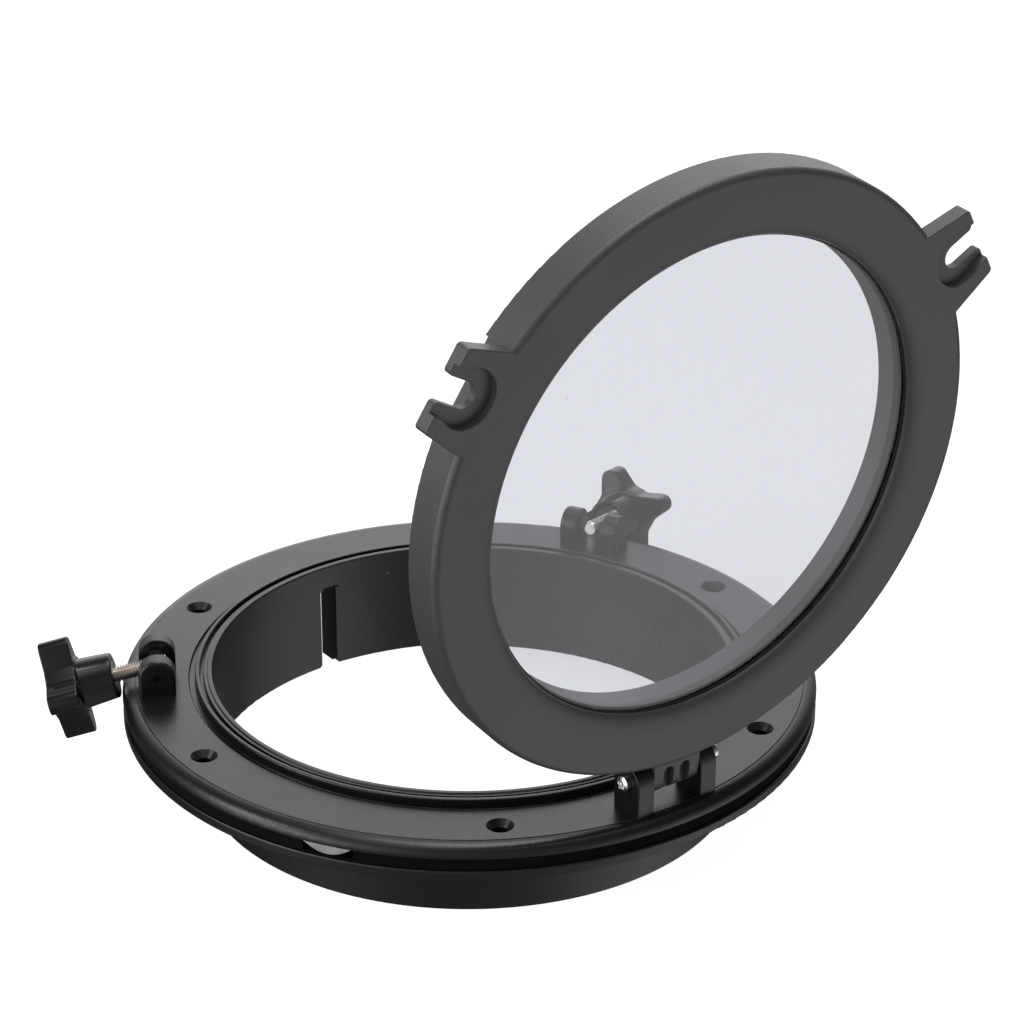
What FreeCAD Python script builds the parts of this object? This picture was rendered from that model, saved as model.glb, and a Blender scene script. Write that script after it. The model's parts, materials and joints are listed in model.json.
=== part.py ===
import FreeCAD, Part
import math
import os

from FreeCAD import Matrix, Placement, Rotation, Vector

os.makedirs("parts", exist_ok=True)

# A round opening portlight of moulded black plastic, millimetres, +Z up.
# z = 0 is the flat top of the flange, the origin is on the axis of the opening,
# and the lid hinges on the -Y side. The lid is stored open.

# ---- flange and spigot -------------------------------------------------------
FLANGE_R = 130.0          # outside radius of the flange
PLATEAU_R = 125.0         # where the flat top starts to roll over
FLANGE_T = 5.0            # flange thickness, down to the seating face
SPIGOT_R = 102.0          # outside of the spigot that passes through the hull
SPIGOT_IN_R = 98.4        # inside of the spigot
SPIGOT_BOTTOM = -43.0     # lower edge of the spigot
LIP_R = 96.5              # clear opening, inside the raised lip
LIP_TOP = 2.7             # height of the lip above the flange
LIP_STEP_Z = -8.0         # where the thick lip steps out to the thinner spigot
RIM_BOTTOM = -4.0         # where the rolled rim becomes upright
GROOVE_Z = 0.2            # bottom of the groove between lip and ridge
CHANNEL_Z = -1.2          # bottom of the seal channel
CHANNEL_OUT_R = 105.2     # seal channel, outer edge
RIDGE_OUT_R = 102.8       # outer sealing ridge
RIDGE_IN_R = 101.1
LIP_LAND_R = 99.7         # outer edge of the inner land
LAND_STEP_R = 98.2
NOTCH_ANGLE = 90.0        # drain notch in the spigot, degrees from +X
NOTCH_WIDTH = 7.2
NOTCH_TOP = -6.5
MOUTH_R = 2.0             # rounding of the notch's lower corners
SPOUT_R = 109.6           # the two fins that carry the notch outwards end here
SPOUT_HALF = 6.2          # outer faces of the fins, from the notch's middle
SPOUT_ROOM = 0.6          # gap between the fins and the loose pieces round them
EAR_ROOT = -2.0           # the ears start inside the flange

# ---- mounting screws ---------------------------------------------------------
SCREW_CIRCLE_R = 116.0
SCREW_ANGLES = [-60.0 + 60.0 * k for k in range(6)]
SCREW_HOLE_R = 2.6        # clears a 5 mm screw
SCREW_SINK_R = 4.9        # countersink at the surface

# ---- gasket, clamp ring, pad -------------------------------------------------
GASKET_R = 128.9
GASKET_T = 4.8
CLAMP_T = 3.9
CLAMP_CLEAR = 0.3         # ring to spigot, radial
PAD_ANGLE = -147.5
PAD_WIDTH = 18.5
PAD_DEPTH = 4.2

# ---- lid hinge ---------------------------------------------------------------
HINGE_Y = -118.2
HINGE_Z = 11.3
HINGE_EAR_R = 7.0
HINGE_EAR_IN = 10.2       # inner and outer face of each ear, from the middle
HINGE_EAR_OUT = 17.2
HINGE_PIN_R = 2.0
HINGE_EAR_SOFT = 0.5      # rounding of the ears' outer edges
PIN_HEAD_R = 2.9
PIN_HEAD_T = 2.6
PIN_CROSS_REACH = 1.7     # half length and half width of the driver's cross
PIN_CROSS_HALF = 0.35
PIN_END = 2.4             # how far the pin runs into its cap
CAP_T = 4.8
CAP_EDGE_R = 0.9
KNUCKLE_R = 6.0
KNUCKLE_HALF = 9.8
SCOOP_X = 3.5             # middles of the two scoops in the knuckle
SCOOP_WIDTH = 4.4
SCOOP_LIFT = 3.0          # floor of a scoop, above the pin's axis
SCOOP_REACH = 5.6         # how far a scoop runs towards the lid
OPEN_ANGLE = 95.5         # lid angle in the stored pose, from closed

# ---- lid, in its closed position ---------------------------------------------
LID_R = 110.0
LID_BOTTOM = 5.5
LID_TOP = 20.3
LID_EDGE_R = 2.4          # rounding between face and wall
FACE_IN_R = 94.5          # where the face starts to roll in to the glass
GLASS_OPEN_R = 87.0       # inner edge of the lid face
RETAINER_IN_R = 86.1
RETAINER_OUT_R = 95.4
RETAINER_BOTTOM = 2.0
GLASS_R = 91.0
GLASS_BOTTOM = 12.3
GLASS_T = 4.0
POCKET_R = 93.0           # pocket for the glass and its seal
SEAL_TOP = 17.0
SEAL_IN_R = 86.4
SNAP_R = 99.0             # wider mouth that takes the retainer's flange
SNAP_Z = 8.5
LID_SEAL_IN_R = 99.9
LID_SEAL_OUT_R = 103.6
LID_SEAL_BOTTOM = 3.1
LID_SEAL_TOP = 7.5

# ---- fork ears on the lid ----------------------------------------------------
BOLT_ANGLES = {"left": 150.0, "right": 30.0}
FORK_TIP = 126.0
FORK_TIP_HALF = 14.7
FORK_ROOT_HALF = 18.8
FORK_ROOT = 106.0
FORK_BOTTOM = 14.3
SLOT_CENTRE = 116.3
SLOT_HALF = 4.5
RECESS_R = 10.3
RECESS_HALF = 8.5
RECESS_BEND_R = 3.0
RECESS_DEPTH = 2.8
FORK_CORNER_R = 1.6       # upright corners at the tips
FORK_EDGE_R = 0.45        # edges of the upper and lower faces
WALL_POCKET_R = 107.0     # lid wall set back behind each fork

# ---- swing bolts -------------------------------------------------------------
BOLT_R = 116.7            # pivot radius from the axis
BOLT_Z = 7.2
BOLT_DROOP = 14.0         # stored angle below horizontal
CLEVIS_R = 6.8
CLEVIS_IN = 5.4
CLEVIS_OUT = 12.2
CLEVIS_PIN_R = 1.6
CLEVIS_EAR_SOFT = 1.1     # rounding of the ears' outer edges
EAR_INNER_SOFT = 0.4      # and of the inner edges, on all ears
STUD_R = 3.0              # M6
STUD_START = -4.0         # distances along the bolt, from the pivot
STUD_END = 33.0
SPACER_R = 3.4
HUB_START = 16.0
HUB_START_R = 8.6
HUB_END_R = 9.4
HUB_EDGE_R = 0.8
STAR_START = 28.9
STAR_END = 41.0
STAR_DOME_R = 260.0       # the outer face is very slightly domed
LOBE_TIP_R = 19.2
LOBE_R = 3.8
LOBES = 4
VALLEY_R = 11.2
WAIST_POWER = 2.1         # how quickly a lobe narrows from its tip
TIP_SWELL = 0.6           # most that the round tip adds to a lobe
OUTLINE_SAMPLES = 120
INSERT_R = 4.6
INSERT_END = 27.0
INSERT_FLANGE_R = 5.6
INSERT_FLANGE_T = 1.0
RUN_FIT = 0.05            # radial clearance of everything that turns or slides

ORIGIN = Vector(0, 0, 0)
Z_AXIS = Vector(0, 0, 1)


def rounding(before, here, after, radius):
    """The arc that rounds the corner at here, as (first point, edge, last point)."""
    back, on = (before - here).normalize(), (after - here).normalize()
    half = 0.5 * back.getAngle(on)
    inward = (back + on).normalize()
    first = here + back * (radius / math.tan(half))
    last = here + on * (radius / math.tan(half))
    middle = here + inward * (radius / math.sin(half) - radius)
    return first, Part.Arc(first, middle, last).toShape(), last


def run_of(item):
    """The points of one item of an outline: a corner, or a list that a smooth curve follows."""
    corners = item if isinstance(item, list) else [item]
    return [Vector(corner[0], 0, corner[1]) for corner in corners]


def outline_wire(items):
    """A closed wire in the XZ plane. A third number in a corner is its rounding."""
    runs = [run_of(item) for item in items]
    pieces = []
    for k, item in enumerate(items):
        run = runs[k]
        before, after = runs[k - 1][-1], runs[(k + 1) % len(runs)][0]
        if isinstance(item, list):
            curve = Part.BSplineCurve()
            curve.interpolate(run)
            pieces.append((run[0], curve.toShape(), run[-1]))
        elif len(item) > 2:
            pieces.append(rounding(before, run[0], after, item[2]))
        else:
            pieces.append((run[0], None, run[0]))
    edges = []
    for k, (first, edge, last) in enumerate(pieces):
        if edge:
            edges.append(edge)
        following = pieces[(k + 1) % len(pieces)][0]
        if (following - last).Length > 1e-6:
            edges.append(Part.makeLine(last, following))
    return Part.Wire(edges)


def revolve(items):
    """A solid of revolution about Z from a (radius, z) outline."""
    return Part.Face(outline_wire(items)).revolve(ORIGIN, Z_AXIS, 360)


def ring(r_out, r_in, z_low, z_high):
    """A plain ring about Z."""
    return revolve([(r_in, z_low), (r_out, z_low), (r_out, z_high), (r_in, z_high)])


def quarter(r_from, z_from, r_to, z_to, steps=8):
    """Points of a convex quarter ellipse, flat at its first end."""
    points = []
    for k in range(steps + 1):
        a = 0.5 * math.pi * k / steps
        points.append((r_from + (r_to - r_from) * math.sin(a),
                       z_to + (z_from - z_to) * math.cos(a)))
    return points


def plate(outline, z_low, z_high):
    """Extrude a closed XY outline from z_low to z_high."""
    wire = Part.makePolygon([Vector(x, y, z_low) for x, y in outline + outline[:1]])
    return Part.Face(wire).extrude(Vector(0, 0, z_high - z_low))


def box(x0, x1, y0, y1, z0, z1):
    return Part.makeBox(x1 - x0, y1 - y0, z1 - z0, Vector(x0, y0, z0))


def rod(radius, start, end):
    """A cylinder between two points."""
    line = end - start
    return Part.makeCylinder(radius, line.Length, start, line)


def turned(shape, angle):
    """A copy turned about Z, degrees."""
    copy = shape.copy()
    copy.rotate(ORIGIN, Z_AXIS, angle)
    return copy


def join(shapes):
    return shapes[0].fuse(shapes[1:]).removeSplitter()


def opened(shape):
    """Swing a lid part from closed to its stored, open place."""
    copy = shape.copy()
    copy.rotate(Vector(0, HINGE_Y, HINGE_Z), Vector(1, 0, 0), OPEN_ANGLE)
    return copy


def save(name, shape):
    shape.exportStep("parts/" + name + ".step")
    print(name, "solids", len(shape.Solids), "volume %.0f mm3" % shape.Volume)


def across_hinge(radius):
    """A cutting rod along the hinge's axis, longer than the hinge is wide."""
    reach = HINGE_EAR_OUT + 10.0
    return rod(radius, Vector(-reach, HINGE_Y, HINGE_Z), Vector(reach, HINGE_Y, HINGE_Z))


# ---- fixed frame -------------------------------------------------------------
def edges_on(shape, x):
    """The edges that lie in the plane across X at x."""
    return [e for e in shape.Edges
            if abs(e.BoundBox.XMin - x) < 1e-4 and abs(e.BoundBox.XMax - x) < 1e-4]


def upright_ear(half_in, half_out, y_mid, z_mid, radius, soft):
    """A round-topped ear standing on the flange, its faces across X and their edges rounded."""
    block = box(half_in, half_out, y_mid - radius, y_mid + radius, EAR_ROOT, z_mid)
    top = rod(radius, Vector(half_in, y_mid, z_mid), Vector(half_out, y_mid, z_mid))
    ear = join([block, top])
    ear = ear.makeFillet(soft, edges_on(ear, half_out))
    return ear.makeFillet(EAR_INNER_SOFT, edges_on(ear, half_in))


def ear_pair(half_in, half_out, y_mid, z_mid, radius, soft):
    ear = upright_ear(half_in, half_out, y_mid, z_mid, radius, soft)
    other = ear.mirror(ORIGIN, Vector(1, 0, 0))
    return [ear, other]


def frame_profile():
    """Lip, land, groove, ridge and channel from the inside out, then the rim and spigot."""
    rim = quarter(PLATEAU_R + 0.3, -0.25, FLANGE_R, RIM_BOTTOM)
    return [(LIP_R, LIP_STEP_Z, 0.4), (LIP_R, LIP_TOP, 0.5),
            (LAND_STEP_R, LIP_TOP, 0.15), (LAND_STEP_R + 0.2, LIP_TOP - 0.5, 0.1),
            (LIP_LAND_R, LIP_TOP - 0.5, 0.25), (LIP_LAND_R, GROOVE_Z, 0.2),
            (RIDGE_IN_R, GROOVE_Z, 0.2), (RIDGE_IN_R, LIP_TOP, 0.5),
            (RIDGE_OUT_R, LIP_TOP, 0.5), (RIDGE_OUT_R, CHANNEL_Z, 0.3),
            (CHANNEL_OUT_R, CHANNEL_Z, 0.3), (CHANNEL_OUT_R, 0.0, 0.4),
            (PLATEAU_R, 0.0), rim,
            (FLANGE_R, -FLANGE_T, 0.2), (SPIGOT_R, -FLANGE_T),
            (SPIGOT_R, SPIGOT_BOTTOM, 0.8), (SPIGOT_IN_R, SPIGOT_BOTTOM, 0.6),
            (SPIGOT_IN_R, LIP_STEP_Z)]


def screw_hole():
    """One countersunk hole through the flange, on the +X side."""
    sink = SCREW_SINK_R - SCREW_HOLE_R
    bore = rod(SCREW_HOLE_R, Vector(SCREW_CIRCLE_R, 0, -FLANGE_T - 1),
               Vector(SCREW_CIRCLE_R, 0, 1))
    cone = Part.makeCone(SCREW_HOLE_R, SCREW_SINK_R + 0.2, sink + 0.2,
                         Vector(SCREW_CIRCLE_R, 0, -sink))
    return bore.fuse(cone)


def spout_block(grow):
    """The block round the drain notch that its fins are cut from, grown by a gap."""
    return turned(box(SPIGOT_R - 1, SPOUT_R + grow, -SPOUT_HALF - grow, SPOUT_HALF + grow,
                      SPIGOT_BOTTOM, -FLANGE_T + 1), NOTCH_ANGLE)


def drain_notch():
    """The slot through the spigot wall and between the fins, with rounded lower corners."""
    half = 0.5 * NOTCH_WIDTH
    slot = box(SPIGOT_IN_R - 4, SPOUT_R + 4, -half, half, SPIGOT_BOTTOM - 1, NOTCH_TOP)
    mouth = box(SPIGOT_IN_R - 4, SPIGOT_R, -half - MOUTH_R, half + MOUTH_R,
                SPIGOT_BOTTOM - 1, SPIGOT_BOTTOM + MOUTH_R)
    for side in (-1, 1):
        corner = Vector(SPIGOT_IN_R - 5, side * (half + MOUTH_R), SPIGOT_BOTTOM + MOUTH_R)
        mouth = mouth.cut(rod(MOUTH_R, corner, corner + Vector(15, 0, 0)))
    return turned(slot.fuse(mouth), NOTCH_ANGLE)


def base_frame():
    solid = join([revolve(frame_profile()), spout_block(0.0)])
    solid = join([solid] + ear_pair(HINGE_EAR_IN, HINGE_EAR_OUT, HINGE_Y, HINGE_Z,
                                    HINGE_EAR_R, HINGE_EAR_SOFT))
    clevis = ear_pair(CLEVIS_IN, CLEVIS_OUT, -BOLT_R, BOLT_Z, CLEVIS_R, CLEVIS_EAR_SOFT)
    for angle in BOLT_ANGLES.values():
        solid = join([solid] + [turned(ear, angle + 90.0) for ear in clevis])
    holes = [turned(screw_hole(), angle) for angle in SCREW_ANGLES]
    holes.append(drain_notch())
    hinge_bore = across_hinge(HINGE_PIN_R)
    clevis_bore = rod(CLEVIS_PIN_R, Vector(-CLEVIS_OUT - 2, -BOLT_R, BOLT_Z),
                      Vector(CLEVIS_OUT + 2, -BOLT_R, BOLT_Z))
    holes.append(hinge_bore)
    for angle in BOLT_ANGLES.values():
        holes.append(turned(clevis_bore, angle + 90.0))
    return solid.cut(holes)


def hull_gasket():
    """Foam ring under the flange, notched for the pad and holed for the screws."""
    low = -FLANGE_T - GASKET_T
    solid = ring(GASKET_R, SPIGOT_R + 0.1, low, -FLANGE_T)
    cuts = [turned(rod(SCREW_HOLE_R + 0.4, Vector(SCREW_CIRCLE_R, 0, low - 1),
                       Vector(SCREW_CIRCLE_R, 0, 0)), a) for a in SCREW_ANGLES]
    half = 0.5 * PAD_WIDTH + 0.3
    cuts.append(turned(box(GASKET_R - 6.3, GASKET_R + 3, -half, half,
                           -FLANGE_T - PAD_DEPTH - 0.3, -FLANGE_T + 1), PAD_ANGLE))
    cuts.append(spout_block(SPOUT_ROOM))
    return solid.cut(cuts)


def clamp_ring():
    top = -FLANGE_T - GASKET_T
    profile = [(SPIGOT_R + CLAMP_CLEAR, top - CLAMP_T), (FLANGE_R, top - CLAMP_T, 0.6),
               (FLANGE_R, top, 0.6), (SPIGOT_R + CLAMP_CLEAR, top)]
    holes = [turned(rod(SCREW_HOLE_R, Vector(SCREW_CIRCLE_R, 0, top - CLAMP_T - 1),
                        Vector(SCREW_CIRCLE_R, 0, top + 1)), a) for a in SCREW_ANGLES]
    return revolve(profile).cut(holes + [spout_block(SPOUT_ROOM)])


def bedding_pad():
    """A shallow lens-shaped pad hanging under the edge of the flange."""
    half = 0.5 * PAD_WIDTH
    sphere_r = (half * half + PAD_DEPTH * PAD_DEPTH) / (2.0 * PAD_DEPTH)
    centre = Vector(GASKET_R - 6.0, 0, -FLANGE_T - PAD_DEPTH + sphere_r)
    disc = rod(sphere_r, centre, centre + Vector(6.4, 0, 0))
    keep = box(GASKET_R - 7, GASKET_R + 2, -half, half, -FLANGE_T - PAD_DEPTH - 1, -FLANGE_T)
    return turned(disc.common(keep), PAD_ANGLE)


# ---- lid ---------------------------------------------------------------------
def lid_profile():
    dish = quarter(FACE_IN_R, LID_TOP, GLASS_OPEN_R, SEAL_TOP + 0.5)
    return [dish[::-1], (LID_R, LID_TOP, LID_EDGE_R), (LID_R, LID_BOTTOM, 0.5),
            (LID_SEAL_OUT_R, LID_BOTTOM), (LID_SEAL_OUT_R, LID_SEAL_TOP),
            (LID_SEAL_IN_R, LID_SEAL_TOP), (LID_SEAL_IN_R, LID_BOTTOM),
            (SNAP_R, LID_BOTTOM), (SNAP_R, SNAP_Z), (POCKET_R, SNAP_Z),
            (POCKET_R, SEAL_TOP), (GLASS_OPEN_R, SEAL_TOP)]


def arc_points(cx, cy, radius, start, end, steps=16):
    """Points on an arc, angles in degrees."""
    points = []
    for k in range(steps + 1):
        a = math.radians(start + (end - start) * k / steps)
        points.append((cx + radius * math.cos(a), cy + radius * math.sin(a)))
    return points


def fork_plate():
    """The fork ear that reaches out over a swing bolt, on the +X side."""
    outline = [(FORK_ROOT - 8, -FORK_ROOT_HALF - 1.4), (FORK_TIP, -FORK_TIP_HALF),
               (FORK_TIP, FORK_TIP_HALF), (FORK_ROOT - 8, FORK_ROOT_HALF + 1.4)]
    return plate(outline, FORK_BOTTOM, LID_TOP)


def fork_slot():
    """The open slot for the bolt."""
    end = arc_points(SLOT_CENTRE, 0, SLOT_HALF, 90, 270)
    return plate([(FORK_TIP + 5, -SLOT_HALF), (FORK_TIP + 5, SLOT_HALF)] + end,
                 FORK_BOTTOM - 1, LID_TOP + 1)


def fork_recess():
    """The sunk seat round the slot: a round pocket with a narrower, softened way out."""
    low, high = LID_TOP - RECESS_DEPTH, LID_TOP + 1
    seat = rod(RECESS_R, Vector(SLOT_CENTRE, 0, low), Vector(SLOT_CENTRE, 0, high))
    way = box(SLOT_CENTRE, FORK_TIP + 5, -RECESS_HALF, RECESS_HALF, low, high)
    recess = join([seat, way])
    bend_x = SLOT_CENTRE + math.sqrt(RECESS_R ** 2 - RECESS_HALF ** 2)
    bends = [e for e in recess.Edges if abs(e.BoundBox.XMin - bend_x) < 0.01
             and abs(e.BoundBox.XMax - bend_x) < 0.01 and e.BoundBox.ZLength > 1.0]
    return recess.makeFillet(RECESS_BEND_R, bends)


def upright_edges(shape, x_min):
    """The straight edges along Z, from x_min outwards."""
    return [e for e in shape.Edges if e.BoundBox.XMin > x_min and e.BoundBox.ZLength > 1.0
            and e.BoundBox.XLength < 1e-4 and e.BoundBox.YLength < 1e-4]


def rims_at(shape, z, x_min):
    """The edges in the plane z, from x_min outwards."""
    return [e for e in shape.Edges if abs(e.BoundBox.ZMin - z) < 1e-4
            and abs(e.BoundBox.ZMax - z) < 1e-4 and e.BoundBox.XMax > x_min]


def fork():
    """One fork ear with its slot and seat, its corners and edges rounded."""
    body = fork_plate().cut(fork_slot())
    body = body.makeFillet(FORK_CORNER_R, upright_edges(body, FORK_TIP - 0.01))
    body = body.cut(fork_recess())
    for z in (LID_TOP, FORK_BOTTOM):
        body = body.makeFillet(FORK_EDGE_R, rims_at(body, z, FORK_ROOT))
    return body


def wall_pocket():
    """Room behind a fork for the clevis, cut into the lid wall."""
    half = FORK_ROOT_HALF - 1.0
    return box(WALL_POCKET_R, LID_R + 20, -half, half, LID_BOTTOM - 1, FORK_BOTTOM)


def knuckle():
    """The lid's half of the hinge: a barrel, its arm and two scoops."""
    barrel = rod(KNUCKLE_R, Vector(-KNUCKLE_HALF, HINGE_Y, HINGE_Z),
                 Vector(KNUCKLE_HALF, HINGE_Y, HINGE_Z))
    arm = box(-KNUCKLE_HALF, KNUCKLE_HALF, HINGE_Y, -LID_R + 4, HINGE_Z - 5.4, HINGE_Z + 6.0)
    body = join([barrel, arm])
    half = 0.5 * SCOOP_WIDTH
    low, high = HINGE_Z + SCOOP_LIFT, HINGE_Z + 9
    cuts = []
    for x in (-SCOOP_X, SCOOP_X):
        end = Vector(x, HINGE_Y + SCOOP_REACH - half, low)
        cuts.append(box(x - half, x + half, HINGE_Y - 8, end.y, low, high))
        cuts.append(rod(half, end, Vector(end.x, end.y, high)))
    return body.cut(cuts)


def lid_frame():
    solid = revolve(lid_profile())
    room = [fork_slot(), fork_recess(), wall_pocket()]
    cuts = [turned(cut, angle) for angle in BOLT_ANGLES.values() for cut in room]
    forks = [turned(fork(), angle) for angle in BOLT_ANGLES.values()]
    bore = across_hinge(HINGE_PIN_R + RUN_FIT)
    return join([solid.cut(cuts)] + forks + [knuckle()]).cut(bore)


def lid_glass():
    top = GLASS_BOTTOM + GLASS_T
    return revolve([(0, GLASS_BOTTOM), (GLASS_R, GLASS_BOTTOM), (GLASS_R, top), (0, top)])


def glass_seal():
    """Rubber round the edge of the glass, with a bead in front of it."""
    glass_top = GLASS_BOTTOM + GLASS_T
    return revolve([(SEAL_IN_R, glass_top), (GLASS_R, glass_top), (GLASS_R, GLASS_BOTTOM),
                    (POCKET_R, GLASS_BOTTOM), (POCKET_R, SEAL_TOP), (SEAL_IN_R, SEAL_TOP)])


def glass_retainer():
    """The inner ring that holds the glass from behind."""
    return revolve([(RETAINER_IN_R, RETAINER_BOTTOM), (RETAINER_OUT_R, RETAINER_BOTTOM),
                    (RETAINER_OUT_R, LID_BOTTOM), (SNAP_R, LID_BOTTOM), (SNAP_R, SNAP_Z),
                    (POCKET_R, SNAP_Z), (POCKET_R, GLASS_BOTTOM),
                    (RETAINER_IN_R, GLASS_BOTTOM)])


def lid_seal():
    """The soft ring in the lid's underside, over the ridges of the frame."""
    mid = 0.5 * (LID_SEAL_IN_R + LID_SEAL_OUT_R)
    return revolve([(LID_SEAL_IN_R, LID_SEAL_TOP), (LID_SEAL_IN_R, LID_BOTTOM - 0.6),
                    (mid - 0.9, LID_SEAL_BOTTOM), (mid + 0.9, LID_SEAL_BOTTOM),
                    (LID_SEAL_OUT_R, LID_BOTTOM - 0.6), (LID_SEAL_OUT_R, LID_SEAL_TOP)])


# ---- hinge pin ---------------------------------------------------------------
def hinge_pin():
    """Shank through both ears, with a domed, cross-slotted head on the left."""
    inner, face = -HINGE_EAR_OUT, -HINGE_EAR_OUT - PIN_HEAD_T
    shank = rod(HINGE_PIN_R, Vector(inner - 0.5, HINGE_Y, HINGE_Z),
                Vector(HINGE_EAR_OUT + PIN_END, HINGE_Y, HINGE_Z))
    head = rod(PIN_HEAD_R, Vector(inner, HINGE_Y, HINGE_Z), Vector(face, HINGE_Y, HINGE_Z))
    dome_r = (PIN_HEAD_R ** 2 + PIN_HEAD_T ** 2) / (2 * PIN_HEAD_T) + 0.6
    dome = Part.makeSphere(dome_r, Vector(face + dome_r, HINGE_Y, HINGE_Z))
    slots = []
    for half_y, half_z in ((PIN_CROSS_REACH, PIN_CROSS_HALF), (PIN_CROSS_HALF, PIN_CROSS_REACH)):
        slots.append(box(face - 1, face + 1, HINGE_Y - half_y, HINGE_Y + half_y,
                         HINGE_Z - half_z, HINGE_Z + half_z))
    return join([shank, head.common(dome).cut(slots)])


def hinge_pin_cap():
    """Push-on cap on the right end of the pin."""
    near, far = HINGE_EAR_OUT, HINGE_EAR_OUT + CAP_T
    cap = rod(PIN_HEAD_R, Vector(near, HINGE_Y, HINGE_Z), Vector(far, HINGE_Y, HINGE_Z))
    cap = cap.makeFillet(CAP_EDGE_R, [e for e in cap.Edges if abs(e.CenterOfMass.x - far) < 1e-3])
    hole = rod(HINGE_PIN_R, Vector(near - 1, HINGE_Y, HINGE_Z),
               Vector(near + PIN_END, HINGE_Y, HINGE_Z))
    return cap.cut(hole)


# ---- swing bolts, built along +X with the pivot at the origin ------------------
def placed_bolt(shape, angle):
    """Droop a bolt part and stand it at its clevis."""
    copy = shape.copy()
    copy.rotate(ORIGIN, Vector(0, 1, 0), BOLT_DROOP)
    copy.translate(Vector(BOLT_R, 0, BOLT_Z))
    return turned(copy, angle)


def clevis_pin():
    length = CLEVIS_OUT - 0.5
    return rod(CLEVIS_PIN_R, Vector(0, -length, 0), Vector(0, length, 0))


def pivot_spacers():
    """Two sleeves that keep the stud in the middle of its clevis."""
    pieces = []
    for side in (-1, 1):
        near, far = side * (STUD_R + 0.1), side * (CLEVIS_IN - 0.35)
        sleeve = rod(SPACER_R, Vector(0, near, 0), Vector(0, far, 0))
        pieces.append(sleeve.cut(rod(CLEVIS_PIN_R + RUN_FIT, Vector(0, side, 0),
                                     Vector(0, side * 9, 0))))
    return Part.makeCompound(pieces)


def swing_stud():
    """M6 stud with a cross hole for the pivot pin and chamfered ends."""
    body = rod(STUD_R, Vector(STUD_START, 0, 0), Vector(STUD_END, 0, 0))
    ends = [e for e in body.Edges if e.Curve.TypeId == "Part::GeomCircle"]
    body = body.makeChamfer(0.5, ends)
    return body.cut(rod(CLEVIS_PIN_R + RUN_FIT, Vector(0, -9, 0), Vector(0, 9, 0)))


def knob_insert():
    """Threaded metal insert in the end of the hub."""
    sleeve = rod(INSERT_R, Vector(HUB_START, 0, 0), Vector(INSERT_END, 0, 0))
    flange = rod(INSERT_FLANGE_R, Vector(HUB_START, 0, 0),
                 Vector(HUB_START + INSERT_FLANGE_T, 0, 0))
    bore = rod(STUD_R + RUN_FIT, Vector(0, 0, 0), Vector(STUD_END, 0, 0))
    return sleeve.fuse(flange).removeSplitter().cut(bore)


def star_outline():
    """Round lobes joined by hollow flanks, about the bolt axis."""
    points = []
    centre = LOBE_TIP_R - LOBE_R
    for k in range(OUTLINE_SAMPLES):
        a = 2.0 * math.pi * k / OUTLINE_SAMPLES
        off = (a * LOBES / (2.0 * math.pi)) % 1.0
        off = min(off, 1.0 - off) * 2.0 * math.pi / LOBES
        if LOBE_R > centre * math.sin(off):
            reach = centre * math.cos(off) + math.sqrt(LOBE_R ** 2 - (centre * math.sin(off)) ** 2)
        else:
            reach = 0.0
        raised = (0.5 + 0.5 * math.cos(LOBES * a)) ** WAIST_POWER
        blend = VALLEY_R + (LOBE_TIP_R - VALLEY_R) * raised
        radius = max(blend, min(reach, blend + TIP_SWELL))
        points.append((radius * math.cos(a), radius * math.sin(a)))
    return points


def star_knob(phase):
    """Tapered hub and star grip; phase turns the lobes about the bolt."""
    hub = Part.makeCone(HUB_START_R, HUB_END_R, STAR_START - HUB_START + 1.0,
                        Vector(HUB_START, 0, 0), Vector(1, 0, 0))
    rim = [e for e in hub.Edges if abs(e.CenterOfMass.x - HUB_START) < 1e-3 and e.Closed]
    hub = hub.makeFillet(HUB_EDGE_R, rim)
    curve = Part.BSplineCurve()
    curve.interpolate([Vector(STAR_START, x, y) for x, y in star_outline()], True)
    star = Part.Face(Part.Wire(curve.toShape())).extrude(Vector(STAR_END - STAR_START, 0, 0))
    dome = Part.makeSphere(STAR_DOME_R, Vector(STAR_END - STAR_DOME_R, 0, 0))
    knob = join([hub, star.common(dome)])
    seat = [rod(INSERT_R + RUN_FIT, Vector(HUB_START - 1, 0, 0), Vector(INSERT_END + 0.3, 0, 0)),
            rod(INSERT_FLANGE_R + RUN_FIT, Vector(HUB_START - 1, 0, 0),
                Vector(HUB_START + INSERT_FLANGE_T + 0.1, 0, 0)),
            rod(STUD_R + 0.4, Vector(HUB_START, 0, 0), Vector(STUD_END + 1.0, 0, 0))]
    knob = knob.cut(seat)
    knob.rotate(ORIGIN, Vector(1, 0, 0), phase)
    return knob


LOBE_PHASE = {"left": 9.0, "right": 66.5}

save("base_frame", base_frame())
save("hull_gasket", hull_gasket())
save("clamp_ring", clamp_ring())
save("bedding_pad", bedding_pad())
save("lid_frame", opened(lid_frame()))
save("lid_glass", opened(lid_glass()))
save("glass_seal", opened(glass_seal()))
save("glass_retainer", opened(glass_retainer()))
save("lid_seal", opened(lid_seal()))
save("hinge_pin", hinge_pin())
save("hinge_pin_cap", hinge_pin_cap())
for side, angle in BOLT_ANGLES.items():
    save("clevis_pin_" + side, placed_bolt(clevis_pin(), angle))
    save("pivot_spacers_" + side, placed_bolt(pivot_spacers(), angle))
    save("swing_stud_" + side, placed_bolt(swing_stud(), angle))
    save("knob_insert_" + side, placed_bolt(knob_insert(), angle))
    save("star_knob_" + side, placed_bolt(star_knob(LOBE_PHASE[side]), angle))
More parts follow.
